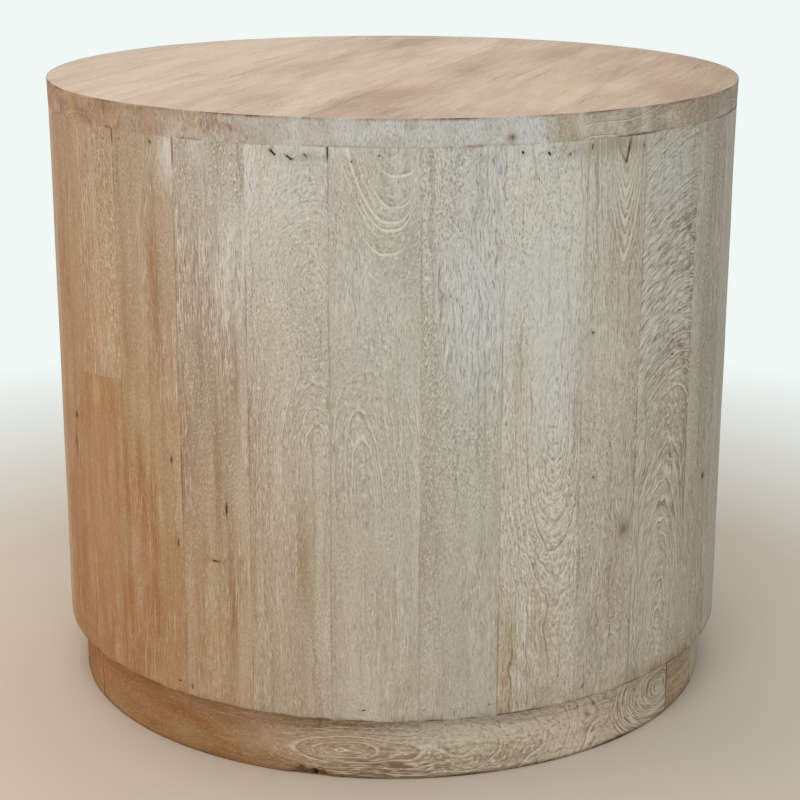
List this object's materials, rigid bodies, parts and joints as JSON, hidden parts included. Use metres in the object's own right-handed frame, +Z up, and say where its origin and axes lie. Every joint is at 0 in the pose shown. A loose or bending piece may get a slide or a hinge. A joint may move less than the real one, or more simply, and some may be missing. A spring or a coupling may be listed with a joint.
{
  "type": "drum side table",
  "caption": "Round drum side table: coopered wooden staves nailed to hidden former discs, a glued board top with a plain rim and a recessed plinth.",
  "frame": {"origin": "on the floor, on the drum's axis, at the middle of the base's bounding box", "axes": "+Z up along the drum's axis; -Y is the front as pictured; +X to the right seen from the front"},
  "size_m": [0.508, 0.508, 0.457],
  "materials": {
    "stave_wood": "whitewashed, matt, open pores filled with white",
    "top_wood": "thin whitewash worn to a warm satin",
    "plinth_wood": "whitewashed, matt, open pores filled with white",
    "former_ply": "bare plywood",
    "batten_wood": "bare sawn wood",
    "screw_steel": "yellow zinc plated",
    "nail_steel": "dull bright wire, darkened heads"
  },
  "bodies": {
    "root": {"block_screws": "screw_steel", "lower_former": "former_ply", "lower_stave_nails": "nail_steel", "plinth_block_1": "batten_wood", "plinth_block_2": "batten_wood", "plinth_block_3": "batten_wood", "plinth_block_4": "batten_wood", "plinth_block_5": "batten_wood", "plinth_block_6": "batten_wood", "plinth_filler": "plinth_wood", "plinth_segment_1": "plinth_wood", "plinth_segment_2": "plinth_wood", "plinth_segment_3": "plinth_wood", "post_1": "batten_wood", "post_2": "batten_wood", "post_3": "batten_wood", "post_4": "batten_wood", "post_screws": "screw_steel", "stave_01": "stave_wood", "stave_02": "stave_wood", "stave_03": "stave_wood", "stave_04": "stave_wood", "stave_05": "stave_wood", "stave_06": "stave_wood", "stave_07": "stave_wood", "stave_08": "stave_wood", "stave_09": "stave_wood", "stave_10": "stave_wood", "stave_11": "stave_wood", "stave_12": "stave_wood", "stave_13": "stave_wood", "stave_14": "stave_wood", "stave_15": "stave_wood", "stave_16": "stave_wood", "stave_17": "stave_wood", "stave_18": "stave_wood", "stave_19": "stave_wood", "stave_20": "stave_wood", "stave_21": "stave_wood", "stave_22": "stave_wood", "stave_23": "stave_wood", "stave_24_lower": "stave_wood", "stave_24_upper": "stave_wood", "stave_25": "stave_wood", "stave_26": "stave_wood", "stave_27": "stave_wood", "stave_28": "stave_wood", "top_board_1": "top_wood", "top_board_2": "top_wood", "top_board_3": "top_wood", "top_board_4": "top_wood", "top_board_5": "top_wood", "top_board_6": "top_wood", "top_board_7": "top_wood", "top_screws": "screw_steel", "upper_former": "former_ply", "upper_stave_nails": "nail_steel"}
  },
  "joints": []
}
